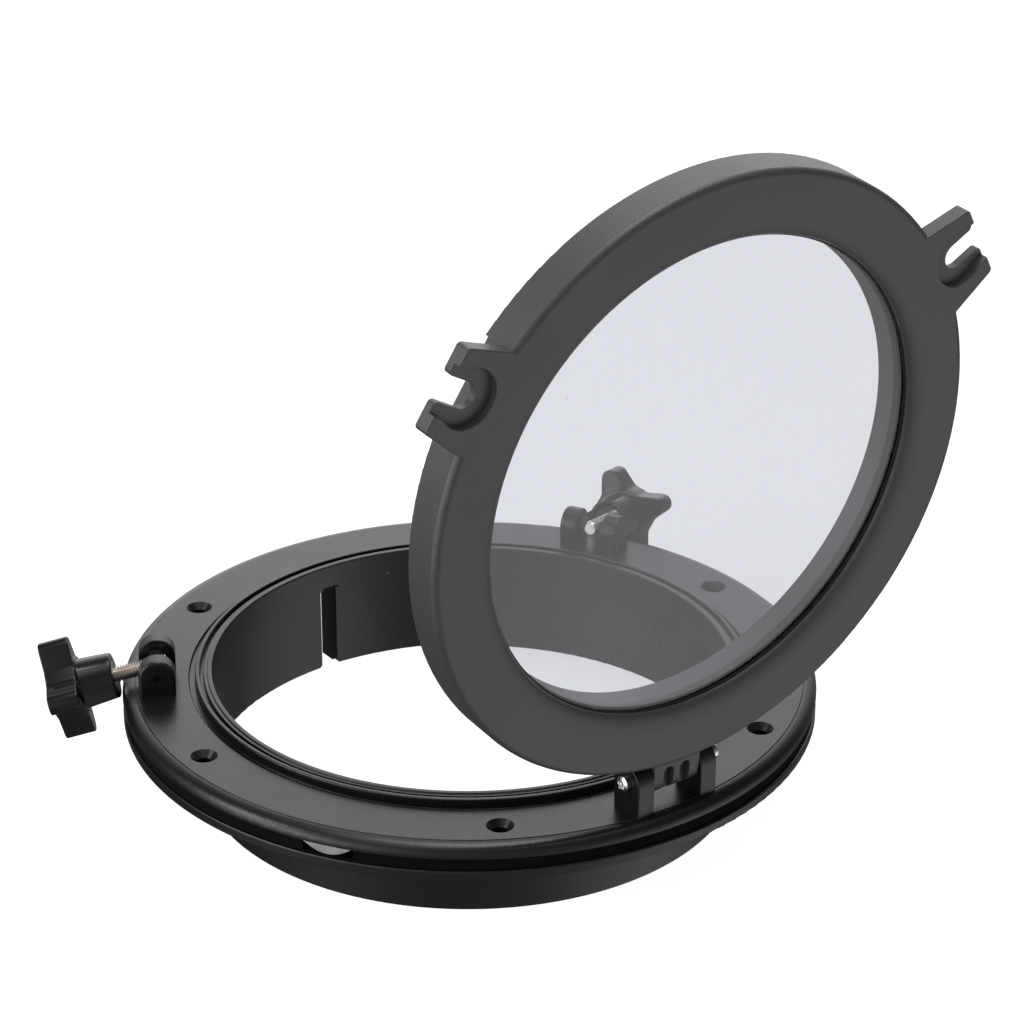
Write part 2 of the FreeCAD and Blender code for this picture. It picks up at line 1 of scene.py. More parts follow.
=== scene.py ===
# %% [markdown]
# # A round opening portlight
# The object is a moulded black frame that is screwed round a hole in a boat's side or deck, with a
# glass lid on a hinge and two swing bolts that hold the lid shut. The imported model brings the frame,
# the lid and all the hardware at their true places. This lesson gives each of them its finish, and
# makes new meshes where a turned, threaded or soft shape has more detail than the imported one.
# Lengths are metres, +Z is up, and the lid hinges on the -Y side.

# %% Load the frame
import json
import math

import bpy
import numpy as np
from mathutils import Matrix, Vector


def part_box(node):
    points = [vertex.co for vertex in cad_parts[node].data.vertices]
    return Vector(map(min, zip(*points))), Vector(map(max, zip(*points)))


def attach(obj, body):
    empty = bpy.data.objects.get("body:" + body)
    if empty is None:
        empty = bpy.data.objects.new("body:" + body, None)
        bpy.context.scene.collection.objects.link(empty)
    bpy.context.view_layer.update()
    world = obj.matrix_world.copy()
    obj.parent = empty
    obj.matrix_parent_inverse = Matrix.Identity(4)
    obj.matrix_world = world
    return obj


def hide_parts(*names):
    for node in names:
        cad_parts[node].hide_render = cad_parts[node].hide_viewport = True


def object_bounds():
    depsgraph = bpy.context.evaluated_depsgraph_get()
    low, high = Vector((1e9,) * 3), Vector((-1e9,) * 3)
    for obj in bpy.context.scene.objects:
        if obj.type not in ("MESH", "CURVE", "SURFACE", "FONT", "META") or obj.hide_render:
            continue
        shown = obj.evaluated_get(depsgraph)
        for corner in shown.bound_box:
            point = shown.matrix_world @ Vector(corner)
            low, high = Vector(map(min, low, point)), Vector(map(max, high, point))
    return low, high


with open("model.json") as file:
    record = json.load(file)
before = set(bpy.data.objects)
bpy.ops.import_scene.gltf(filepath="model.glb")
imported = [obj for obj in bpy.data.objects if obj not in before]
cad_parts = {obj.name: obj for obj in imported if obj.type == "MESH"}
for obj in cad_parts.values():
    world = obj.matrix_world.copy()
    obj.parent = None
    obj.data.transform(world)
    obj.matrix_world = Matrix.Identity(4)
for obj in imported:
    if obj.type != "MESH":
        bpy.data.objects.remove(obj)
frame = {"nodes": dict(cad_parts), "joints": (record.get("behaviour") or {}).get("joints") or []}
cad_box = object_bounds()
nodes = frame["nodes"]
joints = {joint["name"]: joint for joint in frame["joints"]}
MM = 0.001
print("nodes:", len(nodes), "joints:", len(joints))

# %% [markdown]
# ## The camera
# A long lens from well back keeps the circles close to true ellipses.
# The camera could be aimed with a Track To constraint, but a matrix made from its right, up and
# backward directions says exactly where it stands and keeps its small roll.

# %% Camera
CAMERA_PLACE = Vector((-0.61310, -0.87513, 0.57622))
CAMERA_BACK = Vector((-0.52826, -0.73082, 0.43226)).normalized()
CAMERA_UP = Vector((0.25217, 0.35109, 0.90175))
LENS_MM = 113.4
SENSOR_MM = 36.0


def add_camera():
    """Right = up x back; the three directions are the columns of the camera's matrix."""
    data = bpy.data.cameras.new("catalogue_camera")
    data.lens = LENS_MM
    data.sensor_width = SENSOR_MM
    data.clip_end = 20.0
    camera = bpy.data.objects.new("catalogue_camera", data)
    bpy.context.scene.collection.objects.link(camera)
    right = CAMERA_UP.cross(CAMERA_BACK).normalized()
    up = CAMERA_BACK.cross(right)
    turn = Matrix((right, up, CAMERA_BACK)).transposed()
    camera.matrix_world = Matrix.Translation(CAMERA_PLACE) @ turn.to_4x4()
    return camera


bpy.context.scene.camera = add_camera()
bpy.context.scene.view_settings.view_transform = "Standard"
print("camera distance %.3f m" % CAMERA_PLACE.length)

# %% [markdown]
# ## Light and floor
# Black plastic shows almost nothing but what it reflects, so the light is made as a soft surround:
# a few wide lobes of brightness on the sky and below it, each a smooth function of direction, plus
# two softboxes for the crisp highlights on polished parts. Painting a sky image would do the same,
# but lobes stay editable and need no file.

# %% Surround
def link(tree, source, target):
    tree.links.new(source, target)


def math_node(tree, operation, first, second=None):
    """One Math node; each input is a number or a socket."""
    node = tree.nodes.new("ShaderNodeMath")
    node.operation = operation
    for socket, value in zip(node.inputs, (first, second)):
        if hasattr(value, "is_output"):
            link(tree, value, socket)
        elif value is not None:
            socket.default_value = value
    return node.outputs[0]


def lobe(tree, direction, towards, sharpness, strength):
    """strength * exp(sharpness * (cosine of the angle to the lobe's middle - 1))."""
    dot = tree.nodes.new("ShaderNodeVectorMath")
    dot.operation = "DOT_PRODUCT"
    link(tree, direction, dot.inputs[0])
    dot.inputs[1].default_value = Vector(towards).normalized()
    away = math_node(tree, "SUBTRACT", dot.outputs["Value"], 1.0)
    power = math_node(tree, "EXPONENT", math_node(tree, "MULTIPLY", away, sharpness))
    return math_node(tree, "MULTIPLY", power, strength)


BASE_LIGHT = 0.07
LIGHT_LOBES = [  # towards, sharpness, strength
    ((0.52, 0.74, 0.30), 9.0, 2.60),     # the bright far wall
    ((-0.05, -0.10, 1.00), 16.0, 2.20),  # overhead
    ((0.52, -0.64, -0.56), 7.0, 1.35),   # pale floor in front and to the right
    ((-0.95, 0.10, 0.15), 10.0, 4.20),   # left side
    ((-0.53, -0.73, 0.05), 3.0, 0.40),   # the dim room behind the camera
]
PAPER_WHITE = 1.0


def add_surround():
    """Straight sight and sight through the glass meet plain white; all else meets the lobes."""
    world = bpy.data.worlds.new("studio")
    bpy.context.scene.world = world
    world.use_nodes = True
    tree = world.node_tree
    tree.nodes.clear()
    place = tree.nodes.new("ShaderNodeTexCoord")
    total = BASE_LIGHT
    for towards, sharpness, strength in LIGHT_LOBES:
        total = math_node(tree, "ADD", lobe(tree, place.outputs["Generated"], towards,
                                            sharpness, strength), total)
    ray = tree.nodes.new("ShaderNodeLightPath")
    straight = math_node(tree, "MAXIMUM", ray.outputs["Is Camera Ray"],
                         ray.outputs["Is Transmission Ray"])
    rest = math_node(tree, "SUBTRACT", 1.0, straight)
    strength = math_node(tree, "ADD", math_node(tree, "MULTIPLY", straight, PAPER_WHITE),
                         math_node(tree, "MULTIPLY", rest, total))
    background = tree.nodes.new("ShaderNodeBackground")
    link(tree, strength, background.inputs["Strength"])
    output = tree.nodes.new("ShaderNodeOutputWorld")
    link(tree, background.outputs[0], output.inputs["Surface"])


def add_softbox(name, place, aim, width, height, watts):
    data = bpy.data.lights.new(name, "AREA")
    data.shape = "RECTANGLE"
    data.size = width
    data.size_y = height
    data.energy = watts
    light = bpy.data.objects.new(name, data)
    bpy.context.scene.collection.objects.link(light)
    light.location = place
    light.rotation_euler = (Vector(aim) - Vector(place)).to_track_quat("-Z", "Y").to_euler()


add_surround()
add_softbox("softbox_above", (0.25, 0.15, 1.5), (0.0, 0.0, 0.0), 0.9, 0.9, 9.0)
add_softbox("softbox_left", (-1.3, 0.5, 0.8), (0.0, 0.0, 0.05), 0.5, 0.9, 5.0)
print("surround lobes:", len(LIGHT_LOBES))

# %% Floor
FLOOR_REACH = 6.0
FLOOR_TONE, FLOOR_GLOW = 0.25, 0.97


def add_floor():
    """A pale sheet at the object's lowest point. It glows a little, like a lit light table."""
    low = cad_box[0][2]
    mesh = bpy.data.meshes.new("floor")
    corners = FLOOR_REACH * np.array([[-1, -1, 0], [1, -1, 0], [1, 1, 0], [-1, 1, 0]], float)
    corners[:, 2] = low
    mesh.from_pydata(corners.tolist(), [], [(0, 1, 2, 3)])
    floor = bpy.data.objects.new("floor", mesh)
    bpy.context.scene.collection.objects.link(floor)
    material = bpy.data.materials.new("light_table")
    material.use_nodes = True
    shader = material.node_tree.nodes["Principled BSDF"]
    shader.inputs["Base Color"].default_value = (FLOOR_TONE, FLOOR_TONE, FLOOR_TONE, 1.0)
    shader.inputs["Roughness"].default_value = 0.9
    shader.inputs["Specular IOR Level"].default_value = 0.0
    shader.inputs["Emission Color"].default_value = (1.0, 1.0, 1.0, 1.0)
    shader.inputs["Emission Strength"].default_value = FLOOR_GLOW
    mesh.materials.append(material)
    floor.visible_glossy = False
    floor.visible_diffuse = False


add_floor()

# %% [markdown]
# ## Shared effects
# Two effects turn up in nearly every finish here. Moulded plastic copies the fine sparked grain of
# its steel mould, and everything that has been handled carries a few specks of dust. Each effect is
# a node group with named inputs, made once. The groups only put out values and masks, and each
# material decides what to do with them.

# %% Group maker
def new_group(name, numbers, outputs):
    """A shader group with a Vector input, number inputs with defaults, and float outputs."""
    tree = bpy.data.node_groups.new(name, "ShaderNodeTree")
    tree.interface.new_socket("Vector", in_out="INPUT", socket_type="NodeSocketVector")
    for label, value in numbers.items():
        socket = tree.interface.new_socket(label, in_out="INPUT", socket_type="NodeSocketFloat")
        socket.default_value = value
    for label in outputs:
        tree.interface.new_socket(label, in_out="OUTPUT", socket_type="NodeSocketFloat")
    return tree, tree.nodes.new("NodeGroupInput"), tree.nodes.new("NodeGroupOutput")


def noise(tree, vector, scale, detail, roughness=0.5):
    node = tree.nodes.new("ShaderNodeTexNoise")
    link(tree, vector, node.inputs["Vector"])
    if hasattr(scale, "is_output"):
        link(tree, scale, node.inputs["Scale"])
    else:
        node.inputs["Scale"].default_value = scale
    node.inputs["Detail"].default_value = detail
    node.inputs["Roughness"].default_value = roughness
    return node.outputs["Fac"]


# %% Mould grain
DRIFT_SCALE = 28.0


def make_grain():
    """Height: fine noise. Sheen: the same noise and a slow drift, both about 0."""
    tree, start, end = new_group("mould_grain", {"Scale": 2600.0}, ["Height", "Sheen"])
    fine = noise(tree, start.outputs["Vector"], start.outputs["Scale"], 3.0, 0.6)
    slow = noise(tree, start.outputs["Vector"], DRIFT_SCALE, 2.0)
    link(tree, fine, end.inputs["Height"])
    drift = math_node(tree, "SUBTRACT", math_node(tree, "ADD", fine, slow), 1.0)
    link(tree, drift, end.inputs["Sheen"])
    return tree


GRAIN = make_grain()
print("group", GRAIN.name)


# %% Dust
LARGEST_SPECK = 0.055  # of a cell


def make_dust():
    """Round specks: a cell's distance to its point, compared with a radius that few cells reach."""
    tree, start, end = new_group("dust_specks", {"Scale": 160.0, "Share": 0.10}, ["Mask"])
    cells = tree.nodes.new("ShaderNodeTexVoronoi")
    link(tree, start.outputs["Vector"], cells.inputs["Vector"])
    link(tree, start.outputs["Scale"], cells.inputs["Scale"])
    split = tree.nodes.new("ShaderNodeSeparateColor")
    link(tree, cells.outputs["Color"], split.inputs["Color"])
    chosen = math_node(tree, "LESS_THAN", split.outputs["Red"], start.outputs["Share"])
    size = math_node(tree, "MULTIPLY", split.outputs["Green"], LARGEST_SPECK)
    near = math_node(tree, "LESS_THAN", cells.outputs["Distance"], size)
    link(tree, math_node(tree, "MULTIPLY", chosen, near), end.inputs["Mask"])
    return tree


DUST = make_dust()
print("group", DUST.name)


# %% Material maker
def new_material(name):
    """A material with its shader, and Object coordinates to hang patterns on."""
    material = bpy.data.materials.new(name)
    material.use_nodes = True
    tree = material.node_tree
    place = tree.nodes.new("ShaderNodeTexCoord")
    return material, tree, tree.nodes["Principled BSDF"], place.outputs["Object"]


def place_group(tree, group, vector, **numbers):
    node = tree.nodes.new("ShaderNodeGroup")
    node.node_tree = group
    link(tree, vector, node.inputs["Vector"])
    for label, value in numbers.items():
        node.inputs[label].default_value = value
    return node


def bump(tree, shader, height, distance, strength=1.0):
    node = tree.nodes.new("ShaderNodeBump")
    node.inputs["Distance"].default_value = distance
    node.inputs["Strength"].default_value = strength
    link(tree, height, node.inputs["Height"])
    link(tree, node.outputs["Normal"], shader.inputs["Normal"])


def around(tree, middle, value, swing):
    """middle + swing * value."""
    return math_node(tree, "ADD", math_node(tree, "MULTIPLY", value, swing), middle)


def tint(tree, shader, dark, light, mask):
    """Base Color mixed from two colours by a mask."""
    mix = tree.nodes.new("ShaderNodeMix")
    mix.data_type = "RGBA"
    link(tree, mask, mix.inputs["Factor"])
    mix.inputs["A"].default_value = (*dark, 1.0)
    mix.inputs["B"].default_value = (*light, 1.0)
    link(tree, mix.outputs["Result"], shader.inputs["Base Color"])


# %% [markdown]
# ## Finishes
# The frame and lid are black ABS with a satin, lightly grained skin. The knobs are the same plastic
# from a polished mould. The studs, the hinge pin and the inserts are stainless steel, and the bolts'
# cross pins are blackened steel. The gasket is closed-cell foam whose black is pushed almost to nothing
# as painted shade of the deep gap under the flange, and the seals are soft rubber. Each finish is
# one Principled shader with its own depth of grain.

# %% Moulded plastic
DUST_TONE = (0.30, 0.30, 0.29)
GLOSS_SWING = 0.12


def moulded_plastic(name, tone, gloss, scale, depth, dust, level=0.5):
    material, tree, shader, place = new_material(name)
    grain = place_group(tree, GRAIN, place, Scale=scale)
    specks = place_group(tree, DUST, place, Share=dust)
    tint(tree, shader, tone, DUST_TONE, specks.outputs["Mask"])
    link(tree, around(tree, gloss, grain.outputs["Sheen"], GLOSS_SWING), shader.inputs["Roughness"])
    shader.inputs["Specular IOR Level"].default_value = level
    bump(tree, shader, grain.outputs["Height"], depth)
    return material


SATIN_FRAME = moulded_plastic("satin_frame", (0.0055, 0.0055, 0.0060), 0.28, 2200.0, 3.0e-5, 0.05)
GRAINED_LID = moulded_plastic("grained_lid", (0.064, 0.064, 0.066), 0.38, 1500.0, 1.3e-4, 0.05)
POLISHED_KNOB = moulded_plastic("polished_knob", (0.0045, 0.0045, 0.0050), 0.12, 900.0, 4.0e-6, 0.02)
NYLON = moulded_plastic("black_nylon", (0.006, 0.006, 0.006), 0.35, 1500.0, 1.0e-5, 0.0)
print("plastics: satin, grained, polished, nylon")


# %% Stainless steel
def steel(name, gloss, scale, dark, light):
    """Metal with fine tool marks, mixed from two tones."""
    material, tree, shader, place = new_material(name)
    shader.inputs["Metallic"].default_value = 1.0
    stretch = tree.nodes.new("ShaderNodeMapping")
    stretch.inputs["Scale"].default_value = (1.0, 1.0, 8.0)
    link(tree, place, stretch.inputs["Vector"])
    marks = noise(tree, stretch.outputs["Vector"], scale, 2.0)
    tint(tree, shader, dark, light, marks)
    link(tree, around(tree, gloss, marks, GLOSS_SWING), shader.inputs["Roughness"])
    bump(tree, shader, marks, 4.0e-6)
    return material


THREAD_STEEL = steel("thread_steel", 0.20, 1200.0, (0.58, 0.53, 0.49), (0.74, 0.69, 0.65))
PIN_STEEL = steel("pin_steel", 0.10, 700.0, (0.60, 0.59, 0.58), (0.88, 0.87, 0.86))
BLACK_STEEL = steel("blackened_steel", 0.18, 700.0, (0.020, 0.020, 0.021), (0.045, 0.045, 0.046))
print("steels: thread, pin, blackened")


# %% Rubber, foam, pad and glass
def soft_rubber(name, tone, gloss, scale, depth):
    material, tree, shader, place = new_material(name)
    skin = place_group(tree, GRAIN, place, Scale=scale)
    tint(tree, shader, tone, tuple(3.0 * part for part in tone), skin.outputs["Height"])
    link(tree, around(tree, gloss, skin.outputs["Sheen"], 0.10), shader.inputs["Roughness"])
    shader.inputs["Specular IOR Level"].default_value = 0.15
    bump(tree, shader, skin.outputs["Height"], depth)
    return material


def cloudy_pad():
    material, tree, shader, place = new_material("cloudy_pad")
    cloud = place_group(tree, GRAIN, place, Scale=320.0)
    tint(tree, shader, (0.34, 0.35, 0.35), (0.62, 0.63, 0.63), cloud.outputs["Height"])
    link(tree, around(tree, 0.38, cloud.outputs["Sheen"], 0.15), shader.inputs["Roughness"])
    shader.inputs["Transmission Weight"].default_value = 0.35
    shader.inputs["Subsurface Weight"].default_value = 0.25
    shader.inputs["Subsurface Radius"].default_value = (0.002, 0.002, 0.002)
    bump(tree, shader, cloud.outputs["Height"], 2.0e-5)
    return material


def window_glass():
    """Clear glass with a faint grey cast, and dust as small rough patches."""
    material, tree, shader, place = new_material("window_glass")
    specks = place_group(tree, DUST, place, Scale=120.0, Share=0.08)
    tint(tree, shader, (0.580, 0.590, 0.635), (0.45, 0.45, 0.45), specks.outputs["Mask"])
    link(tree, around(tree, 0.0, specks.outputs["Mask"], 0.6), shader.inputs["Roughness"])
    shader.inputs["Transmission Weight"].default_value = 1.0
    shader.inputs["IOR"].default_value = 1.5
    return material


# The gasket's near-zero tone is black foam darkened further, as painted shade of the deep gap under the
# flange.
FOAM_WITH_PAINTED_SHADE = soft_rubber("gasket_foam_painted_shade", (0.0012, 0.0012, 0.0012), 0.95, 1400.0, 1.5e-4)
SEAL_RUBBER = soft_rubber("seal_rubber", (0.010, 0.010, 0.010), 0.5, 1800.0, 1.0e-5)
CLOUDY_PAD = cloudy_pad()
WINDOW_GLASS = window_glass()
print("soft and clear finishes ready")


# %% [markdown]
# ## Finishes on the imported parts
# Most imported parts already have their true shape, with their roundings, so they only need a finish.
# The mesh is left as it is, and the material goes into the object's own slot.

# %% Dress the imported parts
def dress(node, material):
    piece = nodes[node]
    if not piece.material_slots:
        piece.data.materials.append(None)
    for holder in piece.material_slots:
        holder.material = material


PACKED_FINISHES = {"base_frame": SATIN_FRAME, "clamp_ring": SATIN_FRAME, "hull_gasket": FOAM_WITH_PAINTED_SHADE,
                   "lid_frame": GRAINED_LID, "glass_retainer": GRAINED_LID}
for side in ("left", "right"):
    PACKED_FINISHES["clevis_pin_" + side] = BLACK_STEEL
    PACKED_FINISHES["pivot_spacers_" + side] = NYLON
    PACKED_FINISHES["knob_insert_" + side] = PIN_STEEL
for node, material in PACKED_FINISHES.items():
    dress(node, material)
print("dressed", len(PACKED_FINISHES), "packed parts")

# %% [markdown]
# ## From a grid of points to a mesh
# Every new piece is a grid: one direction runs round it and the other runs along its outline. The
# grid's neighbours make quads, an end that comes to the axis is closed with one point, and the sign
# of the enclosed volume says whether the faces look outwards.

# %% Grid to mesh
SHARP_DEG = 38.0


def face_table(rows, columns, wrap):
    """Corner numbers of the quads between each row and the next, round the closed columns."""
    row = np.arange(rows if wrap else rows - 1)[:, None]
    column = np.arange(columns)[None, :]
    up, on = (row + 1) % rows, (column + 1) % columns
    quads = np.stack([row * columns + column, row * columns + on,
                      up * columns + on, up * columns + column], axis=-1)
    return quads.reshape(-1, 4)


def end_fan(first, columns, centre, flip):
    """Triangles from a row of points to one centre point."""
    here = first + np.arange(columns)
    on = first + (np.arange(columns) + 1) % columns
    pair = (on, here) if flip else (here, on)
    return np.stack([pair[1], pair[0], np.full(columns, centre)], axis=-1)


def enclosed(points, faces):
    """Six times the signed volume: the sum of a . (b x c) over triangles."""
    a, b, c = points[faces[:, 0]], points[faces[:, 1]], points[faces[:, 2]]
    return float(np.einsum("ij,ij->i", a, np.cross(b, c)).sum())


def grid_piece(name, grid, wrap=False):
    """A closed mesh from a (rows, columns, 3) grid; wrap joins the last row to the first."""
    rows, columns = grid.shape[:2]
    points = grid.reshape(-1, 3)
    quads = face_table(rows, columns, wrap)
    triangles = np.zeros((0, 3), int)
    if not wrap:
        points = np.vstack([points, grid[0].mean(0), grid[-1].mean(0)])
        low = end_fan(0, columns, rows * columns, False)
        high = end_fan((rows - 1) * columns, columns, rows * columns + 1, True)
        triangles = np.vstack([low, high])
    split = np.vstack([quads[:, :3], quads[:, [0, 2, 3]], triangles])
    if enclosed(points - points.mean(0), split) < 0:
        quads, triangles = quads[:, ::-1], triangles[:, ::-1]
    mesh = bpy.data.meshes.new(name)
    mesh.from_pydata(points.tolist(), [], quads.tolist() + triangles.tolist())
    mesh.polygons.foreach_set("use_smooth", np.ones(len(mesh.polygons), bool))
    mesh.set_sharp_from_angle(angle=math.radians(SHARP_DEG))
    piece = bpy.data.objects.new(name, mesh)
    bpy.context.scene.collection.objects.link(piece)
    return piece


def finish_piece(piece, material, slot, body, *replaced):
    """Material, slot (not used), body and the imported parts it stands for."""
    piece.data.materials.append(material)
    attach(piece, body)
    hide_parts(*replaced)
    print(piece.name, len(piece.data.polygons), "faces")


# %% Outlines with rounded corners
def corner_arc(before, here, after, radius, steps=6):
    """Points of the arc that is tangent to both sides of a corner."""
    back, on = before - here, after - here
    back, on = back / np.linalg.norm(back), on / np.linalg.norm(on)
    half = 0.5 * math.acos(np.clip(back @ on, -1.0, 1.0))
    inward = (back + on) / np.linalg.norm(back + on)
    centre = here + inward * radius / math.sin(half)
    first, last = here + back * radius / math.tan(half), here + on * radius / math.tan(half)
    share = np.linspace(0.0, 1.0, steps + 1)[:, None]
    sweep = math.pi - 2.0 * half
    blend = (np.sin((1.0 - share) * sweep) * (first - centre) + np.sin(share * sweep) * (last - centre))
    return centre + blend / math.sin(sweep)


def soft_outline(corners, closed=True):
    """An outline from (radius, height, rounding) corners."""
    spots = np.array([corner[:2] for corner in corners], float)
    pieces = []
    for k, corner in enumerate(corners):
        inner = closed or 0 < k < len(corners) - 1
        if corner[2] > 0.0 and inner:
            following = spots[(k + 1) % len(spots)]
            pieces.append(corner_arc(spots[k - 1], spots[k], following, corner[2]))
        else:
            pieces.append(spots[k:k + 1])
    return np.vstack(pieces)


def spun(outline, columns):
    """The outline turned round Z: x = r cos a, y = r sin a."""
    a = np.linspace(0.0, 2.0 * np.pi, columns, endpoint=False)[None, :]
    r, z = outline[:, :1], outline[:, 1:2]
    return np.stack([r * np.cos(a), r * np.sin(a), z + 0.0 * a], axis=-1)


# %% [markdown]
# ## Places taken from the joints
# The hinge and the swing bolts are placed by the same joints that move them, so nothing is measured
# twice. Each bolt gets a local set of directions: along the bolt, across it on its pivot, and the
# third at right angles. The lid is worked out closed and then swung open about its hinge.

# %% Local directions
def unit(vector):
    vector = np.array(vector, float)
    return vector / np.linalg.norm(vector)


def bolt_place(side):
    """Pivot point and a 3x3 matrix whose columns are along, across and upright."""
    pivot = np.array(joints["bolt_swing_" + side]["pos_m"], float)
    along = unit(joints["knob_travel_" + side]["axis"])
    across = unit(joints["bolt_swing_" + side]["axis"])
    return pivot, np.stack([along, across, np.cross(along, across)], axis=1)


def on_bolt(side, grid):
    """From (across, upright, along) axes of a turned piece to the row's frame."""
    pivot, turn = bolt_place(side)
    return pivot + grid[..., [2, 0, 1]] @ turn.T


HINGE = np.array(joints["lid_hinge"]["pos_m"], float)
OPEN_ANGLE = math.radians(-joints["lid_hinge"]["range_deg"][0])


def swung_open(grid):
    """Turn about the hinge line: y and z rotate by the open angle."""
    c, s = math.cos(OPEN_ANGLE), math.sin(OPEN_ANGLE)
    y, z = grid[..., 1] - HINGE[1], grid[..., 2] - HINGE[2]
    return np.stack([grid[..., 0], HINGE[1] + c * y - s * z, HINGE[2] + s * y + c * z], axis=-1)


print("lid stands open at %.1f degrees" % math.degrees(OPEN_ANGLE))

# %% [markdown]
# ## Threaded studs
# The swing bolts are plain lengths of M6 stainless studding. A thread could be made with the Screw
# modifier, but then the ends stay open. Here the whole stud is one skin: its radius at each point is
# a triangle wave of the distance along the stud less the share of a turn, so the crest winds round
# as a helix, and a cone at each end trims it.

# %% Threaded studs
STUD_R = 3.0 * MM
ROOT_R = 2.20 * MM
PITCH = 1.0 * MM
CREST_WIDTH, FLANK_SLOPE = 1.35, 3.4
STUD_FROM, STUD_TO = -4.0 * MM, 33.0 * MM
CHAMFER = 0.7 * MM


def thread_radius(turn, along):
    """Root + depth * softened triangle wave, held under a cone near each end."""
    phase = (along / PITCH - turn / (2.0 * np.pi)) % 1.0
    wave = np.clip(CREST_WIDTH - np.abs(phase - 0.5) * FLANK_SLOPE, 0.0, 1.0)
    radius = ROOT_R + (STUD_R - ROOT_R) * wave
    to_end = np.minimum(along - STUD_FROM, STUD_TO - along)
    return np.minimum(radius, STUD_R - CHAMFER + to_end)


def threaded_stud(side, columns=40, samples=10):
    rows = int(round((STUD_TO - STUD_FROM) / PITCH * samples)) + 1
    turn = np.linspace(0.0, 2.0 * np.pi, columns, endpoint=False)[None, :]
    along = np.linspace(STUD_FROM, STUD_TO, rows)[:, None]
    radius = thread_radius(turn, along)
    grid = np.stack([radius * np.cos(turn), radius * np.sin(turn), along + 0.0 * turn], axis=-1)
    return grid_piece("threaded_stud_" + side, on_bolt(side, grid))


for side in ("left", "right"):
    finish_piece(threaded_stud(side), THREAD_STEEL, "stainless", "swing_bolt_" + side,
                 "swing_stud_" + side)

# %% [markdown]
# ## Star knobs
# Each knob is one polished moulding: a tapered hub with a four-lobed star on its end. A star could
# be extruded and bevelled, but its waist is tight and a bevel pinches there. Instead the knob is a
# spun outline whose radius is told, row by row, how far to follow the star instead of a circle.

# %% Star knobs
HUB_FROM, STAR_FROM, STAR_TO = 16.0 * MM, 28.9 * MM, 41.0 * MM
HUB_R, HUB_TOP_R, HUB_EDGE = 8.6 * MM, 9.4 * MM, 0.8 * MM
STAR_LOBES = 4
TIP_R, WAIST_R = 19.2 * MM, 11.2 * MM
TIP_ROUND, TIP_SWELL, WAIST_POWER = 3.8 * MM, 0.6 * MM, 2.1
BORE_R, SEAT_R, SEAT_TO = 5.65 * MM, 3.4 * MM, 34.0 * MM
BORE_DEEP, BORE_LEAD = 1.1 * MM, 0.2 * MM
STAR_EDGE, STAR_DOME = 0.55 * MM, 0.7 * MM
BOSS_R, BOSS_RISE = 10.6 * MM, 0.5 * MM
LOBE_PHASE_DEG = {"left": 9.0, "right": 66.5}


def star_radius(angle):
    """A power of a raised cosine for the waist, widened to a round tip on each lobe."""
    lobe_angle = 2.0 * np.pi / STAR_LOBES
    off = np.abs((angle + 0.5 * lobe_angle) % lobe_angle - 0.5 * lobe_angle)
    middle = TIP_R - TIP_ROUND
    inside = np.maximum(TIP_ROUND ** 2 - (middle * np.sin(off)) ** 2, 0.0)
    tip = np.where(inside > 0.0, middle * np.cos(off) + np.sqrt(inside), 0.0)
    waist = WAIST_R + (TIP_R - WAIST_R) * (0.5 + 0.5 * np.cos(STAR_LOBES * angle)) ** WAIST_POWER
    return np.maximum(waist, np.minimum(tip, waist + TIP_SWELL))


def knob_rows():
    """Rows of (along, circle radius, share of star, inset from the star's edge)."""
    bore = [(SEAT_TO, 0.4 * SEAT_R), (SEAT_TO, SEAT_R), (HUB_FROM + BORE_DEEP, SEAT_R),
            (HUB_FROM + BORE_DEEP, BORE_R), (HUB_FROM + BORE_LEAD, BORE_R),
            (HUB_FROM, BORE_R + BORE_LEAD)]
    rows = [(z, r, 0.0, 0.0) for z, r in bore]
    quarter = np.linspace(0.0, 0.5 * np.pi, 7)
    rows += [(HUB_FROM + HUB_EDGE * (1 - math.cos(q)), HUB_R - HUB_EDGE * (1 - math.sin(q)), 0.0, 0.0)
             for q in quarter]
    boss = STAR_FROM - BOSS_RISE
    rows += [(boss - 0.5 * MM, HUB_TOP_R, 0.0, 0.0), (boss - 0.1 * MM, HUB_TOP_R + 0.1 * MM, 0.0, 0.0),
             (boss, HUB_TOP_R + 0.4 * MM, 0.0, 0.0), (boss, BOSS_R - 0.2 * MM, 0.0, 0.0),
             (boss + 0.2 * MM, BOSS_R, 0.0, 0.0), (STAR_FROM - 0.1 * MM, BOSS_R + 0.1 * MM, 0.0, 0.0)]
    rows += [(STAR_FROM, BOSS_R, share, STAR_EDGE) for share in (0.1, 0.35, 0.6, 0.85)]
    rows += [(STAR_FROM + STAR_EDGE * (1 - math.cos(q)), 0.0, 1.0, STAR_EDGE * (1 - math.sin(q)))
             for q in quarter]
    rows += [(STAR_TO - STAR_DOME - STAR_EDGE + STAR_EDGE * math.sin(q), 0.0, 1.0,
              STAR_EDGE * (1 - math.cos(q))) for q in quarter]
    rows += [(STAR_TO - STAR_DOME * share ** 2, 0.0, share, STAR_EDGE)
             for share in (0.9, 0.75, 0.6, 0.45, 0.3, 0.15, 0.04)]
    return np.array(rows)


def star_knob(side, columns=240):
    rows = knob_rows()
    turn = np.linspace(0.0, 2.0 * np.pi, columns, endpoint=False)[None, :]
    along, circle, share, inset = (rows[:, k:k + 1] for k in range(4))
    radius = (1.0 - share) * circle + share * (star_radius(turn) - inset)
    spin = turn + math.radians(LOBE_PHASE_DEG[side])
    grid = np.stack([radius * np.cos(spin), radius * np.sin(spin), along + 0.0 * turn], axis=-1)
    return grid_piece("knob_moulding_" + side, on_bolt(side, grid))


for side in ("left", "right"):
    finish_piece(star_knob(side), POLISHED_KNOB, "knob_plastic", "knob_" + side, "star_knob_" + side)

